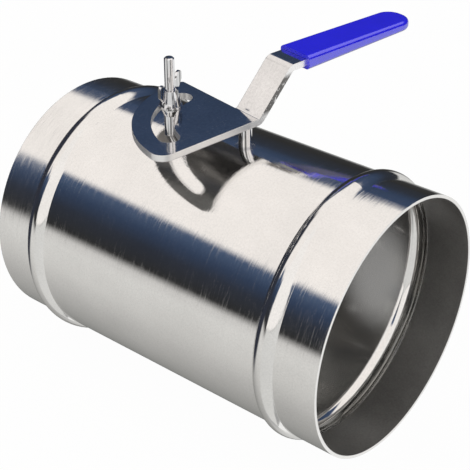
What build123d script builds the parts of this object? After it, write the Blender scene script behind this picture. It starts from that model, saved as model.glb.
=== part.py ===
from build123d import *
import os
from math import cos, radians, sin, sqrt, tan

# A manual duct damper: a beaded steel casing, a round blade on an upright spindle,
# and a folded lever with an arc slot that a wing nut clamps on a stud.
# Millimetres. Origin at the centre of the inlet end, +X along the duct to the outlet, +Z up.

# Casing
CASING_LENGTH = 243.0
SPIGOT_RADIUS = 80.0
SHEET = 2.0
INLET_BEAD_FROM_END = 32.5
OUTLET_BEAD_FROM_END = 34.7
BEAD_WIDTH = 13.8
BEAD_HEIGHT = 3.3
BEAD_FOOT_RADIUS = 0.5

# Spindle, bushes and the retainer under the casing
PIVOT_FROM_INLET = 132.5
SPINDLE_DIAMETER = 8.0
SPINDLE_ACROSS_FLATS = 4.0
SPINDLE_FLAT_PLAY = 0.15
SPINDLE_TENON_DIAMETER = 5.0
SPINDLE_TENON = 2.0
SPINDLE_TAIL = 3.5
SPINDLE_CHAMFER = 0.6
RUNNING_CLEARANCE = 0.05
BUSH_DIAMETER = 12.0
BUSH_FLANGE_DIAMETER = 18.0
BUSH_FLANGE = 2.4
BUSH_BOSS = 1.0
SEAT_GAP = 0.02
THRUST_WASHER_DIAMETER = 16.0
THRUST_WASHER = 1.0
CLIP_DIAMETER = 13.0
CLIP_THICKNESS = 0.9
CLIP_GROOVE_DEPTH = 0.8
CLIP_MOUTH = 5.0
CLIP_PLAY = 0.05

# Blade and its screws
BLADE_THICKNESS = 1.5
BLADE_EDGE_GAP = 1.0
BLADE_END_PLAY = 0.5
BLADE_SCREW_SPACING = 45.0
SCREW_DIAMETER = 4.0
SCREW_HOLE_CLEARANCE = 0.15
SCREW_HEAD_DIAMETER = 8.0
SCREW_HEAD = 2.6
SCREW_HEAD_ROUND = 1.0
SCREW_SLOT_WIDTH = 1.2
SCREW_SLOT_DEPTH = 1.1
SCREW_TAIL = 1.5
BLADE_NUT_ACROSS = 7.0
BLADE_NUT_HEIGHT = 3.2

# Lever: sector plate, rising strip and level arm, folded from one plate
REST_ANGLE = 10.0
PLATE = 4.0
PLATE_STANDOFF = 12.4
SECTOR_RADIUS = 65.0
SECTOR_SIDE_MARGIN = 4.1
SECTOR_FOLD_MARGIN = 6.2
SECTOR_TIP_RADIUS = 2.0
SECTOR_HEEL_RADIUS = 8.0
STRIP_WIDTH = 20.0
STRIP_RISE = 26.5
STRIP_ANGLE = 48.0
BEND_RADIUS = 2.5
ARM_LENGTH = 100.5
ARM_END_RADIUS = 8.0

# Arc slot and the stud that runs in it
SLOT_RADIUS = 47.7
SLOT_WIDTH = 12.6
STUD_BEARING = 15.5
SLOT_START = 10.5
SLOT_END = 75.0
STUD_DIAMETER = 6.0
STUD_HEIGHT = 127.2
STUD_CHAMFER = 0.7
STUD_HOLE_CLEARANCE = 0.2
STUD_HEAD_ACROSS = 10.0
STUD_HEAD = 4.0
SADDLE_DIAMETER = 16.0
SADDLE_THICKNESS = 3.8
SPACER_DIAMETER = 7.7
SPACER_FLARE_DIAMETER = 11.0
SPACER_FLARE_HEIGHT = 4.0
SPACER_RIM = 0.6
SPACER_DROP = 1.0

# Wing nut and its washer
CLAMP_WASHER_DIAMETER = 14.4
CLAMP_WASHER = 1.0
CLAMP_GAP = 0.05
NUT_BEARING = 107.0
NUT_BASE_DIAMETER = 13.0
NUT_TOP_DIAMETER = 9.2
NUT_HEIGHT = 9.6
WING_SPAN = 29.0
WING_HEIGHT = 16.4
WING_THICKNESS = 1.7
WING_ROOT_HEIGHT = 2.6
WING_TIP_WIDTH = 4.8
WING_TIP_DEPTH = 6.2
WING_CORNER_RADIUS = 2.1

# Grip
GRIP_LENGTH = 92.0
GRIP_WALL_SIDE = 2.3
GRIP_WALL_SIDE_FAR = 1.3
GRIP_WALL_FACE = 2.35
GRIP_WALL_FACE_FAR = 1.2
GRIP_END_WALL = 4.0
GRIP_END_RADIUS = 10.5
GRIP_EDGE_ROUND = 2.6
GRIP_FIT = 0.05

# Sizes that follow
bore_radius = SPIGOT_RADIUS - SHEET
spindle_radius = SPINDLE_DIAMETER / 2
flange_face = bore_radius - BUSH_FLANGE
boss_face = SPIGOT_RADIUS + BUSH_BOSS
blade_radius = bore_radius - BLADE_EDGE_GAP
blade_half_height = flange_face - BLADE_END_PLAY
washer_bottom = boss_face + SEAT_GAP + THRUST_WASHER
clip_bottom = washer_bottom + CLIP_PLAY + CLIP_THICKNESS
plate_bottom = SPIGOT_RADIUS + PLATE_STANDOFF
plate_top = plate_bottom + PLATE
arm_top = plate_top + STRIP_RISE
bend_setback = tan(radians(STRIP_ANGLE / 2))
lower_bend = SECTOR_FOLD_MARGIN + BEND_RADIUS * bend_setback
upper_bend = lower_bend + STRIP_RISE / tan(radians(STRIP_ANGLE))
arm_end = upper_bend + ARM_LENGTH
strip_middle = SECTOR_SIDE_MARGIN - STRIP_WIDTH / 2
stud_radius = STUD_DIAMETER / 2
stud_x = PIVOT_FROM_INLET - SLOT_RADIUS * cos(radians(STUD_BEARING))
stud_y = -SLOT_RADIUS * sin(radians(STUD_BEARING))
washer_seat = plate_top + CLAMP_GAP
nut_seat = washer_seat + CLAMP_WASHER
saddle_bottom = sqrt(bore_radius**2 - stud_y**2) - SADDLE_THICKNESS


def duct_cylinder(radius):
    """A solid cylinder on the duct's axis, longer than the casing at both ends."""
    start = Pos(-SPIGOT_RADIUS, 0, 0) * Rot(0, 90, 0)
    height = CASING_LENGTH + 2 * SPIGOT_RADIUS
    return start * Cylinder(radius, height, align=(Align.CENTER, Align.CENTER, Align.MIN))


def rod(radius, bottom, top, x=0.0, y=0.0):
    """An upright cylinder between two heights."""
    foot = Pos(x, y, bottom)
    return foot * Cylinder(radius, top - bottom, align=(Align.CENTER, Align.CENTER, Align.MIN))


def turned_cone(lower_radius, upper_radius, bottom, top, x=0.0, y=0.0):
    """An upright frustum between two heights."""
    foot = Pos(x, y, bottom)
    standing = (Align.CENTER, Align.CENTER, Align.MIN)
    return foot * Cone(lower_radius, upper_radius, top - bottom, align=standing)


def hexagon(across, bottom, top, x=0.0, y=0.0):
    """An upright hexagonal prism, given across its flats."""
    face = Pos(x, y, bottom) * RegularPolygon(across / 2, 6, major_radius=False)
    return extrude(face, top - bottom)


def wall_section(radius, bead_half_width, bead_top):
    """The line that one side of the sheet follows from inlet to outlet, as edges at Y = 0."""
    inlet_bead = INLET_BEAD_FROM_END
    outlet_bead = CASING_LENGTH - OUTLET_BEAD_FROM_END
    places = [0.0]
    for middle in (inlet_bead, outlet_bead):
        places += [middle - bead_half_width, middle + bead_half_width]
    places.append(CASING_LENGTH)
    edges = []
    for start, end in ((0, 1), (2, 3), (4, 5)):
        edges.append(Line((places[start], 0, radius), (places[end], 0, radius)))
    for middle in (inlet_bead, outlet_bead):
        start = (middle - bead_half_width, 0, radius)
        end = (middle + bead_half_width, 0, radius)
        edges.append(ThreePointArc(start, (middle, 0, bead_top), end))
    return edges


def make_casing():
    """A sheet tube turned about X, with two beads and holes for the bushes and the stud."""
    half_width = BEAD_WIDTH / 2
    arc_radius = (half_width**2 + BEAD_HEIGHT**2) / (2 * BEAD_HEIGHT)
    arc_centre = SPIGOT_RADIUS + BEAD_HEIGHT - arc_radius
    inner_half_width = sqrt((arc_radius - SHEET)**2 - (bore_radius - arc_centre)**2)
    outside = wall_section(SPIGOT_RADIUS, half_width, SPIGOT_RADIUS + BEAD_HEIGHT)
    inside = wall_section(bore_radius, inner_half_width, bore_radius + BEAD_HEIGHT)
    ends = []
    for x in (0.0, CASING_LENGTH):
        ends.append(Line((x, 0, bore_radius), (x, 0, SPIGOT_RADIUS)))
    section = make_face(Curve() + outside + inside + ends)
    tube = revolve(section, Axis.X, 360)
    feet = []
    for edge in tube.edges().filter_by(GeomType.CIRCLE):
        at_end = edge.center().X < SHEET or edge.center().X > CASING_LENGTH - SHEET
        if not at_end:
            feet.append(edge)
    outer_feet = [edge for edge in feet if edge.radius > SPIGOT_RADIUS - SHEET / 2]
    inner_feet = [edge for edge in feet if edge.radius < SPIGOT_RADIUS - SHEET / 2]
    tube = fillet(outer_feet, BEAD_FOOT_RADIUS)
    tube = fillet(inner_feet, BEAD_FOOT_RADIUS + SHEET)
    tube -= rod(BUSH_DIAMETER / 2, -boss_face, boss_face, PIVOT_FROM_INLET)
    tube -= rod(stud_radius + STUD_HOLE_CLEARANCE, 0, boss_face, stud_x, stud_y)
    return tube


def make_bush(boss):
    """A flanged bush under the crown: the flange lies on the inner wall, the body fills the wall."""
    body = rod(BUSH_DIAMETER / 2, flange_face, boss_face, PIVOT_FROM_INLET)
    if not boss:
        body &= duct_cylinder(SPIGOT_RADIUS)
    flange = rod(BUSH_FLANGE_DIAMETER / 2, flange_face, SPIGOT_RADIUS, PIVOT_FROM_INLET)
    flange &= duct_cylinder(bore_radius - SEAT_GAP)
    return body + flange - rod(spindle_radius + RUNNING_CLEARANCE, 0, boss_face + SHEET, PIVOT_FROM_INLET)


def make_lower_bush():
    """The bush at the foot of the spindle, with a boss that carries the thrust washer."""
    return mirror(make_bush(boss=True), Plane.XY)


def at_rest(shape):
    """Carry a shape from the lever's own frame, pivot at the origin and arm along +Y, to its rest place."""
    return Pos(PIVOT_FROM_INLET, 0, 0) * Rot(0, 0, -REST_ANGLE) * shape


def screw_heights():
    """The heights of the blade screws on the spindle."""
    return [-BLADE_SCREW_SPACING, 0.0, BLADE_SCREW_SPACING]


def cross_rod(radius, start, end, height):
    """A cylinder along the lever's +X, square to the blade, at a height."""
    foot = Pos(start, 0, height) * Rot(0, 90, 0)
    return foot * Cylinder(radius, end - start, align=(Align.CENTER, Align.CENTER, Align.MIN))


def make_spindle():
    """A round rod with two long flats for the blade, a tenon in the plate and a clip groove."""
    tail = -(clip_bottom + SPINDLE_TAIL)
    shaft = rod(spindle_radius, tail, plate_bottom)
    shaft = chamfer(shaft.edges().group_by(Axis.Z)[0], SPINDLE_CHAMFER)
    shaft += rod(SPINDLE_TENON_DIAMETER / 2, plate_bottom, plate_bottom + SPINDLE_TENON)
    flat_half_height = blade_half_height + SPINDLE_FLAT_PLAY
    for side in (-1, 1):
        middle = side * (SPINDLE_ACROSS_FLATS / 2 + spindle_radius)
        shaft -= Pos(middle, 0, 0) * Box(SPINDLE_DIAMETER, SPINDLE_DIAMETER, 2 * flat_half_height)
    groove_top = -(clip_bottom - CLIP_THICKNESS - CLIP_PLAY)
    groove_bottom = -(clip_bottom + CLIP_PLAY)
    groove = rod(SPINDLE_DIAMETER, groove_bottom, groove_top)
    groove -= rod(spindle_radius - CLIP_GROOVE_DEPTH, groove_bottom, groove_top)
    shaft -= groove
    for height in screw_heights():
        hole = SCREW_DIAMETER / 2 + SCREW_HOLE_CLEARANCE
        shaft -= cross_rod(hole, -SPINDLE_DIAMETER, SPINDLE_DIAMETER, height)
    return at_rest(shaft)


def make_blade():
    """A sheet disc on the spindle's outlet flat, cut straight where it passes the bush flanges."""
    face = SPINDLE_ACROSS_FLATS / 2
    disc = cross_rod(blade_radius, face, face + BLADE_THICKNESS, 0)
    disc &= Box(2 * blade_radius, 2 * blade_radius, 2 * blade_half_height)
    for height in screw_heights():
        hole = SCREW_DIAMETER / 2 + SCREW_HOLE_CLEARANCE
        disc -= cross_rod(hole, 0, SPINDLE_DIAMETER, height)
    return at_rest(disc)


def make_blade_screw(height):
    """A slotted pan-head screw through blade and spindle, head on the outlet side."""
    seat = SPINDLE_ACROSS_FLATS / 2 + BLADE_THICKNESS
    tip = -(SPINDLE_ACROSS_FLATS / 2 + BLADE_NUT_HEIGHT + SCREW_TAIL)
    head = cross_rod(SCREW_HEAD_DIAMETER / 2, seat, seat + SCREW_HEAD, height)
    head = fillet(head.edges().group_by(Axis.X)[-1], SCREW_HEAD_ROUND)
    slot_middle = seat + SCREW_HEAD - SCREW_SLOT_DEPTH / 2
    head -= Pos(slot_middle, 0, height) * Box(SCREW_SLOT_DEPTH, SCREW_HEAD_DIAMETER, SCREW_SLOT_WIDTH)
    return at_rest(head + cross_rod(SCREW_DIAMETER / 2, tip, seat, height))


def make_blade_nut(height):
    """A hexagon nut on the spindle's inlet flat."""
    seat = SPINDLE_ACROSS_FLATS / 2
    prism = hexagon(BLADE_NUT_ACROSS, seat, seat + BLADE_NUT_HEIGHT)
    prism -= rod(SCREW_DIAMETER / 2 + RUNNING_CLEARANCE, seat, seat + BLADE_NUT_HEIGHT)
    return at_rest(Pos(0, 0, height) * Rot(0, -90, 0) * prism)


def make_thrust_washer():
    """A flat washer between the lower bush and the clip."""
    ring = rod(THRUST_WASHER_DIAMETER / 2, -washer_bottom, -(boss_face + SEAT_GAP))
    ring -= rod(spindle_radius + RUNNING_CLEARANCE, -clip_bottom, -boss_face)
    return at_rest(ring)


def make_retaining_clip():
    """An open ring that snaps into the spindle's groove."""
    top = -(clip_bottom - CLIP_THICKNESS)
    ring = rod(CLIP_DIAMETER / 2, -clip_bottom, top)
    ring -= rod(spindle_radius - CLIP_GROOVE_DEPTH + CLIP_PLAY, -clip_bottom, top)
    mouth = Box(CLIP_DIAMETER, CLIP_MOUTH, CLIP_DIAMETER, align=(Align.MIN, Align.CENTER, Align.CENTER))
    ring -= Pos(0, 0, top) * mouth
    return at_rest(ring)


def sector_face():
    """The sector's outline with its arc slot, pivot at the origin, seen from above."""
    quarter = Circle(SECTOR_RADIUS)
    reach = 2 * SECTOR_RADIUS
    window = Rectangle(reach, reach, align=(Align.MAX, Align.MAX))
    quarter &= Pos(SECTOR_SIDE_MARGIN, SECTOR_FOLD_MARGIN) * window
    tip = quarter.vertices().sort_by(Axis.X)[0]
    quarter = fillet(tip, SECTOR_TIP_RADIUS)
    heel = quarter.vertices().sort_by(Axis.Y)[0]
    quarter = fillet(heel, SECTOR_HEEL_RADIUS)
    slot = SlotArc(CenterArc((0, 0), SLOT_RADIUS, 180 + SLOT_START, SLOT_END - SLOT_START), SLOT_WIDTH)
    return quarter - slot


def arm_plan(margin, end):
    """The arm's outline seen from above, with rounded corners at its end, grown by a margin."""
    width = STRIP_WIDTH + 2 * margin
    length = end - upper_bend
    sheet = Pos(strip_middle, upper_bend) * Rectangle(width, length, align=(Align.CENTER, Align.MIN))
    corners = sheet.vertices().group_by(Axis.Y)[-1]
    return fillet(corners, ARM_END_RADIUS + margin)


def folded_side():
    """The strip's side view in the lever's YZ plane: level root, rising part and level arm."""
    lift = PLATE * bend_setback
    upper = [(0, plate_top), (lower_bend, plate_top), (upper_bend, arm_top), (arm_end, arm_top)]
    lower = [(y + lift * inner, z - PLATE) for (y, z), inner in zip(upper, (0, 1, 1, 0))]
    outline = Polyline(*upper, *reversed(lower), close=True)
    side = make_face(outline)
    tight = [upper[1], lower[2]]
    wide = [upper[2], lower[1]]
    for bends, radius in ((tight, BEND_RADIUS), (wide, BEND_RADIUS + PLATE)):
        for y, z in bends:
            corner = side.vertices().sort_by_distance(Vector(y, z, 0))[0]
            side = fillet(corner, radius)
    return side


def make_lever_sector():
    """Sector, rising strip and arm in one plate, with a blind hole under it for the spindle's tenon."""
    plate = extrude(Pos(0, 0, plate_bottom) * sector_face(), PLATE)
    side_plane = Plane(origin=(SECTOR_SIDE_MARGIN, 0, 0), x_dir=(0, 1, 0), z_dir=(1, 0, 0))
    strip = extrude(side_plane * folded_side(), -STRIP_WIDTH)
    blank = Pos(strip_middle, 0) * Rectangle(STRIP_WIDTH, 2 * upper_bend) + arm_plan(0, arm_end)
    strip &= extrude(blank, arm_top + PLATE)
    tenon_hole = rod(SPINDLE_TENON_DIAMETER / 2, plate_bottom, plate_bottom + SPINDLE_TENON)
    return at_rest(plate + strip - tenon_hole)


def make_grip():
    """A moulded sleeve, narrower and thinner towards its closed round end, open towards the bend."""
    end = arm_end + GRIP_END_WALL
    start = end - GRIP_LENGTH
    near = STRIP_WIDTH / 2 + GRIP_WALL_SIDE
    far = STRIP_WIDTH / 2 + GRIP_WALL_SIDE_FAR
    corners = [(-near, start), (near, start), (far, end), (-far, end)]
    outline = Pos(strip_middle, 0) * make_face(Polyline(*corners, close=True))
    outline = fillet(outline.vertices().group_by(Axis.Y)[-1], GRIP_END_RADIUS)
    middle = arm_top - PLATE / 2
    thick = PLATE / 2 + GRIP_WALL_FACE
    thin = PLATE / 2 + GRIP_WALL_FACE_FAR
    side = [(start, middle - thick), (start, middle + thick), (end, middle + thin), (end, middle - thin)]
    upright = Plane(origin=(0, 0, 0), x_dir=(0, 1, 0), z_dir=(1, 0, 0))
    body = extrude(Pos(0, 0, middle - thick) * outline, 2 * thick)
    body &= extrude(upright * make_face(Polyline(*side, close=True)), 2 * STRIP_WIDTH, both=True)
    mouth = body.edges().group_by(Axis.Y)[0]
    faces = body.faces().sort_by(Axis.Z)
    long_edges = [edge for edge in faces[0].edges() + faces[-1].edges() if edge not in mouth]
    body = fillet(long_edges, GRIP_EDGE_ROUND)
    pocket = extrude(Pos(0, 0, arm_top - PLATE - GRIP_FIT) * arm_plan(GRIP_FIT, arm_end + GRIP_FIT),
                     PLATE + 2 * GRIP_FIT)
    return at_rest(body - pocket)


def make_locking_stud():
    """A long hexagon-head screw from inside the casing, upright through wall, sleeve and slot."""
    head_top = saddle_bottom
    shank = rod(stud_radius, head_top, STUD_HEIGHT, stud_x, stud_y)
    shank = chamfer(shank.edges().group_by(Axis.Z)[-1], STUD_CHAMFER)
    return shank + hexagon(STUD_HEAD_ACROSS, head_top - STUD_HEAD, head_top, stud_x, stud_y)


def make_stud_saddle():
    """A washer with a curved top that lies on the inner wall and a flat foot for the stud's head."""
    block = rod(SADDLE_DIAMETER / 2, saddle_bottom, SPIGOT_RADIUS, stud_x, stud_y)
    block &= duct_cylinder(bore_radius - SEAT_GAP)
    return block - rod(stud_radius + STUD_HOLE_CLEARANCE, 0, SPIGOT_RADIUS, stud_x, stud_y)


def make_stud_spacer():
    """A sleeve on the stud with a flared top, its foot cut to the casing's round."""
    top = plate_top - SPACER_DROP
    flare_top = top - SPACER_RIM
    sleeve = rod(SPACER_DIAMETER / 2, bore_radius / 2, flare_top, stud_x, stud_y)
    flare_radius = SPACER_FLARE_DIAMETER / 2
    flare_bottom = flare_top - SPACER_FLARE_HEIGHT
    sleeve += turned_cone(SPACER_DIAMETER / 2, flare_radius, flare_bottom, flare_top, stud_x, stud_y)
    sleeve += rod(flare_radius, flare_top, top, stud_x, stud_y)
    sleeve -= duct_cylinder(SPIGOT_RADIUS + SEAT_GAP)
    return sleeve - rod(stud_radius + STUD_HOLE_CLEARANCE, 0, STUD_HEIGHT, stud_x, stud_y)


def make_clamp_washer():
    """A flat washer that bridges the slot under the wing nut."""
    ring = rod(CLAMP_WASHER_DIAMETER / 2, washer_seat, nut_seat, stud_x, stud_y)
    return ring - rod(stud_radius + RUNNING_CLEARANCE, 0, STUD_HEIGHT, stud_x, stud_y)


def wing_face():
    """One wing's side view: it rises outwards from the hub's foot to a round tip."""
    reach = WING_SPAN / 2
    outline = [
        (0, WING_ROOT_HEIGHT),
        (NUT_BASE_DIAMETER / 2, WING_ROOT_HEIGHT),
        (reach, WING_HEIGHT - WING_TIP_DEPTH),
        (reach, WING_HEIGHT),
        (reach - WING_TIP_WIDTH, WING_HEIGHT),
        (NUT_TOP_DIAMETER / 2, NUT_HEIGHT),
        (0, NUT_HEIGHT),
    ]
    face = make_face(Polyline(*outline, close=True))
    for x, z in outline[2:5]:
        corner = face.vertices().sort_by_distance(Vector(x, z, 0))[0]
        face = fillet(corner, WING_CORNER_RADIUS)
    return face


def make_wing_nut():
    """A cast nut: a conical hub with a bore and two opposite wings."""
    hub = turned_cone(NUT_BASE_DIAMETER / 2, NUT_TOP_DIAMETER / 2, 0, NUT_HEIGHT)
    upright = Plane(origin=(0, WING_THICKNESS / 2, 0), x_dir=(1, 0, 0), z_dir=(0, -1, 0))
    wing = extrude(upright * wing_face(), WING_THICKNESS)
    nut = hub + wing + Rot(0, 0, 180) * wing
    nut -= rod(stud_radius + RUNNING_CLEARANCE, -NUT_HEIGHT, 2 * NUT_HEIGHT)
    return Pos(stud_x, stud_y, nut_seat) * Rot(0, 0, NUT_BEARING) * nut


def make_nodes():
    """Every piece of the damper by its name."""
    nodes = {
        "casing": make_casing(),
        "upper_bush": make_bush(boss=False),
        "lower_bush": make_lower_bush(),
        "spindle": make_spindle(),
        "blade": make_blade(),
        "thrust_washer": make_thrust_washer(),
        "retaining_clip": make_retaining_clip(),
        "lever_sector": make_lever_sector(),
        "grip": make_grip(),
        "locking_stud": make_locking_stud(),
        "stud_saddle": make_stud_saddle(),
        "stud_spacer": make_stud_spacer(),
        "clamp_washer": make_clamp_washer(),
        "wing_nut": make_wing_nut(),
    }
    for number, height in enumerate(screw_heights(), start=1):
        nodes[f"blade_screw_{number}"] = make_blade_screw(height)
        nodes[f"blade_nut_{number}"] = make_blade_nut(height)
    return nodes


os.makedirs("parts", exist_ok=True)
for name, shape in make_nodes().items():
    export_step(shape, f"parts/{name}.step")
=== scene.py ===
import math

import bpy
import numpy as np
from bpy.props import FloatProperty, FloatVectorProperty, PointerProperty
from bpy.types import Operator, Panel, PropertyGroup
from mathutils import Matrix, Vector


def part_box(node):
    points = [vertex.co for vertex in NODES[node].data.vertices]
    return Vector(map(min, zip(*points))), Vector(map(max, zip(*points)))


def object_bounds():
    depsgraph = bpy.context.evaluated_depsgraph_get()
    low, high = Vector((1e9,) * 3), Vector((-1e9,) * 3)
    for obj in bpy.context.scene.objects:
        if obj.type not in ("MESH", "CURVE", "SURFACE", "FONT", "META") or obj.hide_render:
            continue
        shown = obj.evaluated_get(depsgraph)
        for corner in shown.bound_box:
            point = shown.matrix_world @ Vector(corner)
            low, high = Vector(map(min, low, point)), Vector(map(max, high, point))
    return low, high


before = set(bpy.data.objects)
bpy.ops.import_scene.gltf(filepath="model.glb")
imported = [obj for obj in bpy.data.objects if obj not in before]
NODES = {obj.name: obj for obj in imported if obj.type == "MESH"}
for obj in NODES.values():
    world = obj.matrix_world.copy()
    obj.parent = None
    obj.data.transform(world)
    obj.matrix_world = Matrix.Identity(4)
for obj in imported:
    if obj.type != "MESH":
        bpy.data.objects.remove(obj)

bl_info = {
    "name": "Manual duct damper",
    "version": (1, 0, 0),
    "blender": (4, 5, 0),
    "location": "View3D > Sidebar > Duct damper",
    "description": "Dresses a round duct damper in galvanised steel with a blue grip, on a pale studio floor",
    "category": "Object",
}

CAD_LOW, CAD_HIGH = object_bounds()
DUCT_MIDDLE = (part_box("casing")[0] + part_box("casing")[1]) / 2

# Places on the part, in metres
BORE_RADIUS = 0.0783
BORE_BLEND = 0.995
INLET_BEAD = 0.0325
OUTLET_BEAD = 0.2083
PLATE_BOTTOM = 0.0924
STRIP_FOOT = (PLATE_BOTTOM + 0.0045, PLATE_BOTTOM + 0.0075)
STRIP_HEAD = (PLATE_BOTTOM + 0.0235, PLATE_BOTTOM + 0.0265)

# Finishes, lengths in metres
STEEL_EDGE = 0.0003
VINYL_EDGE = 0.0004
GRAIN_DEPTH = 0.000003
PEBBLE_DEPTH = 0.000008
# Painted highlight on upright cut edges, and painted shade on the rising strip's cut edge
PAINTED_CUT_HIGHLIGHT = (0.97, 0.965, 0.955)
PAINTED_STRIP_SHADE = (0.05, 0.045, 0.04)

# Floor, lamps and camera, lengths in metres
WHITE = (1.0, 1.0, 1.0)
FLOOR_HALF_SIDE = 4.0
FLOOR_GAP = 0.0004
LAMP_SIZE = 2.2
LAMP_OFFSET = Vector((-0.5, -0.4, 2.4))
INSIDE_LAMP_PLACE = Vector((0.62, -0.45, 0.36))
INSIDE_LAMP_TARGET = Vector((0.182, 0.0735, -0.024))
INSIDE_LAMP_SPREAD = math.radians(4.2)
INSIDE_LAMP_STRETCH = (0.8, 1.5, 1.0)
INSIDE_LAMP_RADIUS = 0.004
SENSOR_WIDTH = 36.0
CLIP_START = 0.01

# The studio round the damper: colours at angles in degrees, first round the duct and then round the upright
ROOM = [
    (-180, (0.030, 0.030, 0.030)), (-165, (0.04, 0.04, 0.04)), (-153, (0.50, 0.50, 0.49)),
    (-140, (0.36, 0.36, 0.35)), (-128, (0.20, 0.20, 0.195)), (-116, (0.27, 0.27, 0.26)),
    (-68, (0.50, 0.495, 0.485)), (-42, (0.66, 0.655, 0.64)), (-18, (0.735, 0.73, 0.715)),
    (-9, (0.67, 0.66, 0.65)), (-2, (0.030, 0.030, 0.030)), (16, (0.030, 0.036, 0.052)),
    (28, (0.036, 0.056, 0.106)), (41, (0.072, 0.110, 0.195)), (46, (1.0, 0.955, 0.925)),
    (130, (1.0, 0.955, 0.925)), (135, (0.056, 0.082, 0.150)), (148, (0.040, 0.063, 0.118)),
    (160, (0.030, 0.036, 0.050)), (180, (0.030, 0.030, 0.030)),
]
FLOOR = [
    (-180, (0.70, 0.70, 0.69)), (-60, (0.45, 0.45, 0.45)), (-32, (0.71, 0.71, 0.70)),
    (58, (0.74, 0.74, 0.73)), (64, (0.4, 0.4, 0.4)), (82, (0.4, 0.4, 0.4)),
    (90, (1.0, 1.0, 1.0)), (138, (1.0, 1.0, 1.0)), (180, (0.70, 0.70, 0.69)),
]
PANEL_COLOUR = (1.0, 0.97, 0.95)
FAR_END_COLOUR = (0.032, 0.036, 0.052)

# Angles in degrees between which the studio's parts fade in and out
PANEL = (-23, -20, 58, 62)
CROWN = (55, 75, 110, 120)
FLARE_RISE = (-4, 36)

# Shares of a direction along an axis between which the studio's parts fade in
HORIZON = (-0.03, 0.02)
NEAR_SIDE = (-0.1, 0.1)
FLOOR_START = (-0.36, -0.24)
FAR_END = (-0.85, -0.77)
CROWN_REACH = 0.07
FLARE_ALONG = (-0.68, -0.44)
FAR_FLARE_ALONG = (-0.715, -0.69)
MOUTH_ALONG = (-0.475, -0.455)

# How far the soft box overhead flares along the duct, in degrees
FLARE_START = 5.85
FLARE = 10.8
FAR_FLARE = 9.0
MOUTH_FLARE = 5.0
FAR_SIDE_SHARE = 0.4


# Shader expressions

class Signal:
    """One output socket of a node. Arithmetic on signals adds Math nodes to the same tree."""

    def __init__(self, tree, socket):
        self.tree = tree
        self.socket = socket

    def _math(self, operation, left, right):
        return self.tree.node("ShaderNodeMath", {"operation": operation}, {0: left, 1: right})

    def __add__(self, other):
        return self._math("ADD", self, other)

    def __radd__(self, other):
        return self._math("ADD", other, self)

    def __sub__(self, other):
        return self._math("SUBTRACT", self, other)

    def __rsub__(self, other):
        return self._math("SUBTRACT", other, self)

    def __mul__(self, other):
        return self._math("MULTIPLY", self, other)

    def __rmul__(self, other):
        return self._math("MULTIPLY", other, self)

    def __truediv__(self, other):
        return self._math("DIVIDE", self, other)

    def between(self, low, high):
        """0 below low, 1 above high, and even steps between."""
        return self.tree.node("ShaderNodeMapRange", {"clamp": True},
                              {"Value": self, "From Min": low, "From Max": high})

    def window(self, start, full, fade, end):
        """0 before the start and past the end, 1 from full to fade, and even steps between."""
        return self.between(start, full) * (1 - self.between(fade, end))


class ShaderTree:
    """A node tree that is filled in from Python expressions."""

    def __init__(self, owner):
        owner.use_nodes = True
        self.nodes = owner.node_tree.nodes
        self.links = owner.node_tree.links
        self.nodes.clear()

    def node(self, kind, settings=None, inputs=None, output=0):
        """Add a node: settings first, then a value or a signal for each named socket."""
        made = self.nodes.new(kind)
        for key, value in (settings or {}).items():
            if key == "stops":
                self._set_stops(made.color_ramp, value)
            else:
                setattr(made, key, value)
        for key, value in (inputs or {}).items():
            if isinstance(value, Signal):
                self.links.new(value.socket, made.inputs[key])
            else:
                made.inputs[key].default_value = value
        return Signal(self, made.outputs[output]) if made.outputs else None

    @staticmethod
    def _set_stops(ramp, stops):
        while len(ramp.elements) < len(stops):
            ramp.elements.new(1.0)
        for element, (place, colour) in zip(ramp.elements, stops):
            element.position = place
            element.color = opaque(colour)

    def parts(self, vector):
        """The X, Y and Z of a vector as three signals."""
        split = self.node("ShaderNodeSeparateXYZ", {}, {0: vector}).socket.node
        return tuple(Signal(self, socket) for socket in split.outputs)

    def slope(self):
        """The Z of the surface normal in the object's own frame: 1 on a level top, 0 on an upright face."""
        return self.parts(self.node("ShaderNodeTexCoord", output="Normal"))[2]

    def arc(self, rise, run):
        """The angle of a rise over a run, with -180 to 180 degrees as 0 to 1."""
        return self.node("ShaderNodeMath", {"operation": "ARCTAN2"}, {0: rise, 1: run}) / math.tau + 0.5

    def noise(self, place, stretch, detail=3.0, roughness=0.5):
        """Noise from 0 to 1 on Object coordinates, stretched by a factor per metre along each axis."""
        stretched = self.node("ShaderNodeVectorMath", {"operation": "MULTIPLY"}, {0: place, 1: stretch})
        return self.node("ShaderNodeTexNoise", {}, {
            "Vector": stretched, "Scale": 1.0, "Detail": detail, "Roughness": roughness})

    def mixed(self, share, first, second):
        """A colour between two colours."""
        return self.node("ShaderNodeMix", {"data_type": "RGBA"}, {0: share, 6: first, 7: second}, output=2)

    def soft_edge(self, radius):
        """A surface normal that rounds the edges off over a radius in metres."""
        return self.node("ShaderNodeBevel", {"samples": 6}, {"Radius": radius})

    def bump(self, height, distance, normal):
        """A surface normal that follows a height from 0 to 1, with its depth in metres."""
        return self.node("ShaderNodeBump", {}, {
            "Strength": 1.0, "Distance": distance, "Height": height, "Normal": normal})


def opaque(colour):
    """A colour with full alpha, for a colour socket."""
    return (*colour, 1.0)


def turn(degrees):
    """An angle in degrees as a share of a full turn, with -180 to 180 as 0 to 1."""
    return (degrees + 180) / 360


def round_stops(levels):
    """Ramp stops for colours at angles in degrees."""
    return [(turn(angle), colour) for angle, colour in levels]


def scaled(colour, factor):
    """A colour made darker or lighter by a factor."""
    return tuple(channel * factor for channel in colour)


# Finishes

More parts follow.
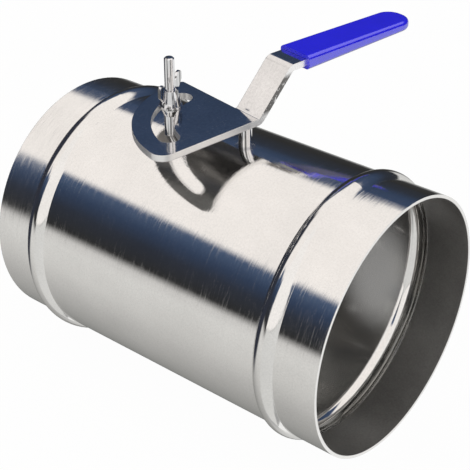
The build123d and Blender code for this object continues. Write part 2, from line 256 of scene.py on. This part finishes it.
def steel_finish(name, colour, roughness, streak, grain, ripple, mottle=0.13, brushed=2.8,
                 scratch=GRAIN_DEPTH, dull=None, cut=None):
    """Bright zinc-coated steel. Fine scratches run along the axes with a low streak frequency, spangle and
    smudges mottle the colour, slow ripples bend the reflections, and edges are softened over a small radius.
    The dull function gives, for a place, how far the colour is darkened with painted shade or painted
    reflection, how dark it is there and how much rougher the zinc is.
    The cut function gives how far a face is an upright cut edge, painted lighter as a highlight, and how far
    it is the rising strip's cut edge, painted dark as shade."""
    material = bpy.data.materials.new(name)
    tree = ShaderTree(material)
    place = tree.node("ShaderNodeTexCoord", output="Object")
    spangle = tree.noise(place, (grain, grain, grain), 4.0, 0.65)
    smudge = tree.noise(place, (28.0, 34.0, 31.0), 3.0, 0.6)
    scratches = tree.noise(place, streak, 2.0, 0.7)
    waves = tree.noise(place, (17.0, 23.0, 19.0), 1.0, 0.4)
    tone = spangle.between(0.3, 0.7) * 0.5 + smudge.between(0.25, 0.75) * 0.5
    lightest = 1.05
    base = tree.mixed(tone, opaque(scaled(colour, lightest - mottle)), opaque(scaled(colour, lightest)))
    feather = scratches.between(0.34, 0.70)
    sparkle = spangle.between(0.55, 0.8)
    worn = roughness * (0.3 + smudge * 0.7 + feather * feather * brushed + sparkle * 0.6)
    metallic = 1.0
    if dull:
        share, shade, blur = dull(*tree.parts(place))
        # Painted shade and painted reflection: the dull share darkens the colour; the added roughness is the
        # zinc's own dullness.
        base = tree.mixed(share * shade * (0.75 + tone * 0.5), base, opaque(scaled(colour, 0.1)))
        worn = worn * (1 - share * 0.5) + blur
        metallic = 1 - share * 0.14
    if cut:
        upright, strip_shade = cut(tree, tree.parts(place)[2])
        strip_shade = strip_shade * (1 - spangle.between(0.56, 0.66))
        # Painted highlight: upright cut edges are lightened.
        base = tree.mixed(upright * 0.7, base, opaque(PAINTED_CUT_HIGHLIGHT))
        # Painted shade: the rising strip's cut edge is darkened, broken up by spangle.
        base = tree.mixed(strip_shade * 0.85, base, opaque(PAINTED_STRIP_SHADE))
        worn = worn + upright * 0.3
    rippled = tree.bump(waves, ripple, tree.soft_edge(STEEL_EDGE))
    scratched = tree.bump(scratches, scratch, rippled)
    grained = tree.bump(spangle, GRAIN_DEPTH, scratched)
    surface = tree.node("ShaderNodeBsdfPrincipled", {}, {
        "Base Color": base, "Metallic": metallic, "Roughness": worn, "Normal": grained})
    tree.node("ShaderNodeOutputMaterial", {}, {"Surface": surface})
    return material


def dull_and_shaded_bore(x, y, z):
    """Inside the casing the zinc is dull and painted darker as shade, most of all between the outlet and
    its bead. Outside, it is a little less smooth up to the inlet bead."""
    # Painted shade inside the bore, darker still at the mouth; the blur is roughness.
    inside = 1 - (y * y + z * z).between(BORE_RADIUS**2 * BORE_BLEND, BORE_RADIUS**2)
    spigot = 1 - x.between(INLET_BEAD - 0.012, INLET_BEAD + 0.004)
    mouth = x.between(OUTLET_BEAD + 0.004, OUTLET_BEAD + 0.008)
    return inside, 0.35 + mouth * 0.3, inside * (0.035 + mouth * 0.265) + spigot * 0.06


def dull_and_shaded_underside(x, y, z):
    """The underside of the lever's sector is dull, and its colour is darkened as painted shade."""
    # Painted shade under the plate; the blur is roughness.
    under = 1 - z.between(PLATE_BOTTOM + 0.0002, PLATE_BOTTOM + 0.0006)
    return under, 0.75, under * 0.25


def painted_reflection_lines(x, y, z):
    """Painted reflection: dark streaks run up and down rods and hub, where noise stretched upright is high.
    """
    tree = x.tree
    place = tree.node("ShaderNodeTexCoord", output="Object")
    # Painted reflection: dark streaks stand in for reflections of dark strips in the studio.
    line = tree.noise(place, (620.0, 620.0, 9.0), 1.0, 0.4).between(0.53, 0.60)
    return line, 0.85, line * 0.02


def cut_edge(tree, z):
    """How far a face of the lever is an upright cut edge, which is painted lighter as a highlight and is less
    smooth, and how far it is a cut edge of the rising strip, which is painted dark as shade."""
    slope = tree.slope()
    upright = 1 - (slope * slope).between(0.02, 0.12)
    return upright, upright * z.window(*STRIP_FOOT, *STRIP_HEAD)


def moulded_finish(name, colour, roughness):
    """Moulded vinyl: a faint clouding of the colour, painted shade underneath, a fine pebble in the surface,
    and a wet-looking gloss."""
    material = bpy.data.materials.new(name)
    tree = ShaderTree(material)
    place = tree.node("ShaderNodeTexCoord", output="Object")
    cloud = tree.noise(place, (60.0, 60.0, 60.0), 3.0, 0.6)
    pebble = tree.noise(place, (1500.0, 1500.0, 1500.0), 2.0, 0.5)
    base = tree.mixed(cloud, opaque(scaled(colour, 0.86)), opaque(scaled(colour, 1.1)))
    # Painted shade: faces turned down are darkened.
    under = (0 - tree.slope()).between(0.2, 0.7)
    base = tree.mixed(under * 0.85, base, opaque(scaled(colour, 0.05)))
    worn = roughness * 0.75 + cloud * (roughness * 0.5)
    pebbled = tree.bump(pebble, PEBBLE_DEPTH, tree.soft_edge(VINYL_EDGE))
    surface = tree.node("ShaderNodeBsdfPrincipled", {}, {
        "Base Color": base, "Roughness": worn, "Specular IOR Level": 0.1, "Coat Weight": 1.0,
        "Coat Roughness": 0.05, "Coat IOR": 2.1, "Normal": pebbled})
    tree.node("ShaderNodeOutputMaterial", {}, {"Surface": surface})
    return material


def dress(material, *names):
    """Give a material to CAD nodes, in every slot they have."""
    for name in names:
        slots = NODES[name].data.materials
        slots.clear()
        slots.append(material)


# Surfaces

def grid_faces(rows, columns):
    """Corner numbers of the quads of a rows by columns grid of points, as one array."""
    row, column = np.meshgrid(np.arange(rows - 1), np.arange(columns - 1), indexing="ij")
    first = (row * columns + column).ravel()
    return np.stack([first, first + 1, first + columns + 1, first + columns], axis=1)


def surface_object(name, points):
    """A mesh object from a grid of points, an array of rows by columns by three, at the origin."""
    rows, columns = points.shape[:2]
    mesh = bpy.data.meshes.new(name)
    mesh.from_pydata(points.reshape(-1, 3).tolist(), [], grid_faces(rows, columns).tolist())
    made = bpy.data.objects.new(name, mesh)
    bpy.context.scene.collection.objects.link(made)
    return made


def floor_points(half_side, height):
    """A level square: x and y run from minus to plus half a side, z is the height."""
    line = np.linspace(-half_side, half_side, 3)
    x, y = np.meshgrid(line, line, indexing="xy")
    return np.stack([x, y, np.full_like(x, height)], axis=-1)


def add_lamp(data, place, target):
    """Put a lamp at a place, turned to a target. Its own shape doesn't show in shiny surfaces."""
    lamp = bpy.data.objects.new(data.name, data)
    lamp.location = place
    lamp.rotation_euler = (target - lamp.location).to_track_quat("-Z", "Y").to_euler()
    lamp.visible_glossy = False
    bpy.context.scene.collection.objects.link(lamp)
    return lamp


# Values that a user would change

class SteelSettings(PropertyGroup):
    """Colours and finish of the metal."""

    sheet_colour: FloatVectorProperty(
        name="Sheet colour", description="Reflected colour of the galvanised casing",
        subtype="COLOR", default=(0.88, 0.87, 0.85), min=0, max=1)
    blade_colour: FloatVectorProperty(
        name="Blade colour", description="Reflected colour of the dull zinc on the blade",
        subtype="COLOR", default=(0.34, 0.34, 0.33), min=0, max=1)
    sheet_roughness: FloatProperty(
        name="Sheet roughness", description="Blur of the casing's reflections",
        default=0.075, min=0, max=1)
    plate_colour: FloatVectorProperty(
        name="Plate colour", description="Reflected colour of the lever plate",
        subtype="COLOR", default=(0.84, 0.83, 0.82), min=0, max=1)
    plate_roughness: FloatProperty(
        name="Plate roughness", description="Blur of the lever plate's reflections",
        default=0.08, min=0, max=1)
    plating_colour: FloatVectorProperty(
        name="Plating colour", description="Reflected colour of spindle, stud and nuts",
        subtype="COLOR", default=(0.86, 0.86, 0.87), min=0, max=1)
    plating_roughness: FloatProperty(
        name="Plating roughness", description="Blur of the plating's reflections",
        default=0.05, min=0, max=1)


class VinylSettings(PropertyGroup):
    """Colour and finish of the grip."""

    grip_colour: FloatVectorProperty(
        name="Grip colour", description="Colour of the vinyl grip",
        subtype="COLOR", default=(0.020, 0.012, 0.98), min=0, max=1)
    grip_roughness: FloatProperty(
        name="Grip roughness", description="Blur of the colour under the grip's gloss",
        default=0.34, min=0, max=1)


class StageSettings(PropertyGroup):
    """Camera, floor and light."""

    lens: FloatProperty(
        name="Lens", description="Focal length on a 36 mm frame, in millimetres", default=94.6, min=1)
    bearing: FloatProperty(
        name="Bearing", description="Camera's angle round the damper from the -Y side",
        subtype="ANGLE", unit="ROTATION", default=math.radians(38.96))
    elevation: FloatProperty(
        name="Elevation", description="Camera's angle above the horizon",
        subtype="ANGLE", unit="ROTATION", default=math.radians(32.03))
    place: FloatVectorProperty(
        name="Camera place", description="Camera's place in the part's frame",
        subtype="TRANSLATION", unit="LENGTH", default=(0.5264, -0.4966, 0.4156))
    floor_colour: FloatVectorProperty(
        name="Floor colour", description="Colour of the floor",
        subtype="COLOR", default=(0.86, 0.86, 0.85), min=0, max=1)
    inside_power: FloatProperty(
        name="Inside lamp power", description="Power of the narrow lamp that shines into the outlet",
        unit="POWER", default=85.0, min=0)
    backdrop_share: FloatProperty(
        name="Backdrop share",
        description="How far the floor is lifted to plain white where the camera sees it",
        subtype="FACTOR", default=0.97, min=0, max=1)
    lamp_power: FloatProperty(
        name="Lamp power", description="Power of the soft lamp overhead", unit="POWER", default=6.0, min=0)


# Pieces

class DAMPER_OT_casing(Operator):
    """Finish the casing as bright galvanised sheet, streaked round the duct, and the blade as dull sheet"""

    bl_idname = "damper.casing"
    bl_label = "Casing and blade"

    def execute(self, context):
        steel = context.scene.damper_steel
        sheet = steel_finish("galvanised_sheet", steel.sheet_colour, steel.sheet_roughness,
                             streak=(1100.0, 60.0, 60.0), grain=900.0, ripple=0.00002,
                             mottle=0.18, brushed=1.7, scratch=0.000026, dull=dull_and_shaded_bore)
        dress(sheet, "casing")
        disc = steel_finish("blade_sheet", steel.blade_colour, steel.sheet_roughness * 3.0,
                            streak=(60.0, 60.0, 1200.0), grain=900.0, ripple=0.00002, brushed=0.5)
        dress(disc, "blade")
        return {"FINISHED"}


class DAMPER_OT_lever(Operator):
    """Finish the folded lever as galvanised plate with softened sheared edges"""

    bl_idname = "damper.lever"
    bl_label = "Lever"

    def execute(self, context):
        steel = context.scene.damper_steel
        plate = steel_finish("galvanised_plate", steel.plate_colour, steel.plate_roughness,
                             streak=(1200.0, 70.0, 70.0), grain=620.0, ripple=0.00001,
                             mottle=0.34, brushed=1.2, dull=dull_and_shaded_underside, cut=cut_edge)
        dress(plate, "lever_sector")
        return {"FINISHED"}


class DAMPER_OT_hardware(Operator):
    """Finish the spindle, stud, nuts, washers and screws as bright zinc plating"""

    bl_idname = "damper.hardware"
    bl_label = "Hardware"

    def execute(self, context):
        steel = context.scene.damper_steel
        plating = steel_finish("zinc_plating", steel.plating_colour, steel.plating_roughness,
                               streak=(90.0, 90.0, 1500.0), grain=2200.0, ripple=0.000004, dull=painted_reflection_lines)
        bush = steel_finish("bush_metal", scaled(steel.plating_colour, 0.8), steel.plating_roughness * 4.0,
                            streak=(90.0, 90.0, 900.0), grain=1800.0, ripple=0.000004)
        dress(bush, "upper_bush", "lower_bush")
        small = [name for name in NODES if name.startswith(("blade_screw", "blade_nut"))]
        dress(plating, "spindle", "locking_stud", "stud_saddle", "stud_spacer", "clamp_washer", "wing_nut",
              "thrust_washer", "retaining_clip", *small)
        return {"FINISHED"}


class DAMPER_OT_grip(Operator):
    """Finish the grip as glossy blue vinyl"""

    bl_idname = "damper.grip"
    bl_label = "Grip"

    def execute(self, context):
        vinyl = context.scene.damper_vinyl
        dress(moulded_finish("blue_vinyl", vinyl.grip_colour, vinyl.grip_roughness), "grip")
        return {"FINISHED"}


class DAMPER_OT_stage(Operator):
    """Set up the pale floor, the studio round the damper, two lamps and the camera"""

    bl_idname = "damper.stage"
    bl_label = "Stage"

    def execute(self, context):
        stage = context.scene.damper_stage
        self.make_floor(stage)
        self.make_studio(context.scene)
        self.make_lamp(stage)
        self.make_inside_lamp(stage)
        self.make_camera(context.scene, stage)
        context.scene.view_settings.view_transform = "Standard"
        return {"FINISHED"}

    def make_floor(self, stage):
        """A pale floor that the camera sees as nearly plain white and the metal doesn't show."""
        floor = surface_object("floor", floor_points(FLOOR_HALF_SIDE, CAD_LOW.z - FLOOR_GAP))
        material = bpy.data.materials.new("pale_floor")
        tree = ShaderTree(material)
        place = tree.node("ShaderNodeTexCoord", output="Object")
        cloud = tree.noise(place, (2.0, 2.0, 2.0))
        base = tree.mixed(cloud, opaque(scaled(stage.floor_colour, 0.99)), opaque(stage.floor_colour))
        matt = tree.node("ShaderNodeBsdfDiffuse", {}, {"Color": base})
        white = tree.node("ShaderNodeEmission", {}, {"Color": opaque(WHITE), "Strength": 1.0})
        seen = tree.node("ShaderNodeLightPath", output="Is Camera Ray")
        surface = tree.node("ShaderNodeMixShader", {}, {0: seen * stage.backdrop_share, 1: matt, 2: white})
        tree.node("ShaderNodeOutputMaterial", {}, {"Surface": surface})
        floor.data.materials.append(material)
        floor.visible_glossy = False

    def make_studio(self, scene):
        """A room as a metal surface sees it: a long soft box overhead with dusky blue walls on either side,
        parallel to the duct, a bright panel in front of the outlet end, a pale floor, and a dark far end.
        The soft box flares along the duct. The camera sees white."""
        world = bpy.data.worlds.new("studio")
        scene.world = world
        tree = ShaderTree(world)
        x, y, z = tree.parts(tree.node("ShaderNodeTexCoord", output="Generated"))
        roll = tree.arc(z, 0 - y)
        bearing = tree.arc(x, 0 - y)
        near = (0 - y).between(*NEAR_SIDE)
        flare = x.between(*FLARE_ALONG) * FLARE + (1 - x.between(*FAR_FLARE_ALONG)) * FAR_FLARE - FLARE_START
        mouth = (1 - near) * x.between(*MOUTH_ALONG) * MOUTH_FLARE
        wider = flare * (near * (1 + FAR_SIDE_SHARE) - FAR_SIDE_SHARE) - mouth
        leaning = roll + wider * roll.between(*map(turn, FLARE_RISE)) / 360
        strips = tree.node("ShaderNodeValToRGB", {"stops": round_stops(ROOM)}, {0: leaning})
        floor = tree.node("ShaderNodeValToRGB", {"stops": round_stops(FLOOR)}, {0: bearing})
        above = z.between(*HORIZON)
        panel = above * bearing.window(*map(turn, PANEL))
        room = tree.mixed(panel, strips, opaque(PANEL_COLOUR))
        aside = (1 - above) * x.between(*FLOOR_START)
        room = tree.mixed(aside, room, floor)
        overhead = roll.window(*map(turn, CROWN))
        beyond = 1 - (x - overhead * CROWN_REACH).between(*FAR_END)
        around = tree.mixed(beyond, room, opaque(FAR_END_COLOUR))
        studio = tree.node("ShaderNodeBackground", {}, {"Color": around, "Strength": 1.0})
        white = tree.node("ShaderNodeBackground", {}, {"Color": opaque(WHITE), "Strength": 1.0})
        seen = tree.node("ShaderNodeLightPath", output="Is Camera Ray")
        surface = tree.node("ShaderNodeMixShader", {}, {0: seen, 1: studio, 2: white})
        tree.node("ShaderNodeOutputWorld", {}, {"Surface": surface})

    def make_lamp(self, stage):
        """A wide soft lamp high over the damper."""
        data = bpy.data.lights.new("soft_lamp", "AREA")
        data.shape = "DISK"
        data.size = LAMP_SIZE
        data.energy = stage.lamp_power
        add_lamp(data, DUCT_MIDDLE + LAMP_OFFSET, DUCT_MIDDLE)

    def make_inside_lamp(self, stage):
        """A narrow lamp through the outlet that lifts a patch of the dull bore beyond the bead."""
        data = bpy.data.lights.new("inside_lamp", "SPOT")
        data.energy = stage.inside_power
        data.spot_size = INSIDE_LAMP_SPREAD
        data.spot_blend = 1.0
        data.shadow_soft_size = INSIDE_LAMP_RADIUS
        add_lamp(data, INSIDE_LAMP_PLACE, INSIDE_LAMP_TARGET).scale = INSIDE_LAMP_STRETCH

    def make_camera(self, scene, stage):
        """A camera at its place, turned by its bearing and elevation."""
        data = bpy.data.cameras.new("camera")
        data.lens = stage.lens
        data.sensor_width = SENSOR_WIDTH
        data.clip_start = CLIP_START
        camera = bpy.data.objects.new("camera", data)
        level = math.cos(stage.elevation)
        back = Vector((math.sin(stage.bearing) * level, -math.cos(stage.bearing) * level,
                       math.sin(stage.elevation)))
        camera.location = stage.place
        camera.rotation_euler = (-back).to_track_quat("-Z", "Y").to_euler()
        scene.collection.objects.link(camera)
        scene.camera = camera


class DAMPER_PT_sidebar(Panel):
    """Lists the damper's pieces and their values"""

    bl_label = "Duct damper"
    bl_idname = "DAMPER_PT_sidebar"
    bl_space_type = "VIEW_3D"
    bl_region_type = "UI"
    bl_category = "Duct damper"

    def draw(self, context):
        for operator in PIECES:
            self.layout.operator(operator.bl_idname, text=operator.bl_label)
        for settings in (context.scene.damper_steel, context.scene.damper_vinyl, context.scene.damper_stage):
            box = self.layout.box()
            for name in settings.bl_rna.properties.keys():
                if name not in ("name", "rna_type"):
                    box.prop(settings, name)


PIECES = (DAMPER_OT_casing, DAMPER_OT_lever, DAMPER_OT_hardware, DAMPER_OT_grip, DAMPER_OT_stage)
CLASSES = (SteelSettings, VinylSettings, StageSettings, *PIECES, DAMPER_PT_sidebar)


def register():
    for each in CLASSES:
        bpy.utils.register_class(each)
    bpy.types.Scene.damper_steel = PointerProperty(type=SteelSettings)
    bpy.types.Scene.damper_vinyl = PointerProperty(type=VinylSettings)
    bpy.types.Scene.damper_stage = PointerProperty(type=StageSettings)


def unregister():
    del bpy.types.Scene.damper_steel
    del bpy.types.Scene.damper_vinyl
    del bpy.types.Scene.damper_stage
    for each in reversed(CLASSES):
        bpy.utils.unregister_class(each)


def main():
    register()
    bpy.ops.damper.casing()
    bpy.ops.damper.lever()
    bpy.ops.damper.hardware()
    bpy.ops.damper.grip()
    bpy.ops.damper.stage()


if __name__ == "__main__":
    main()
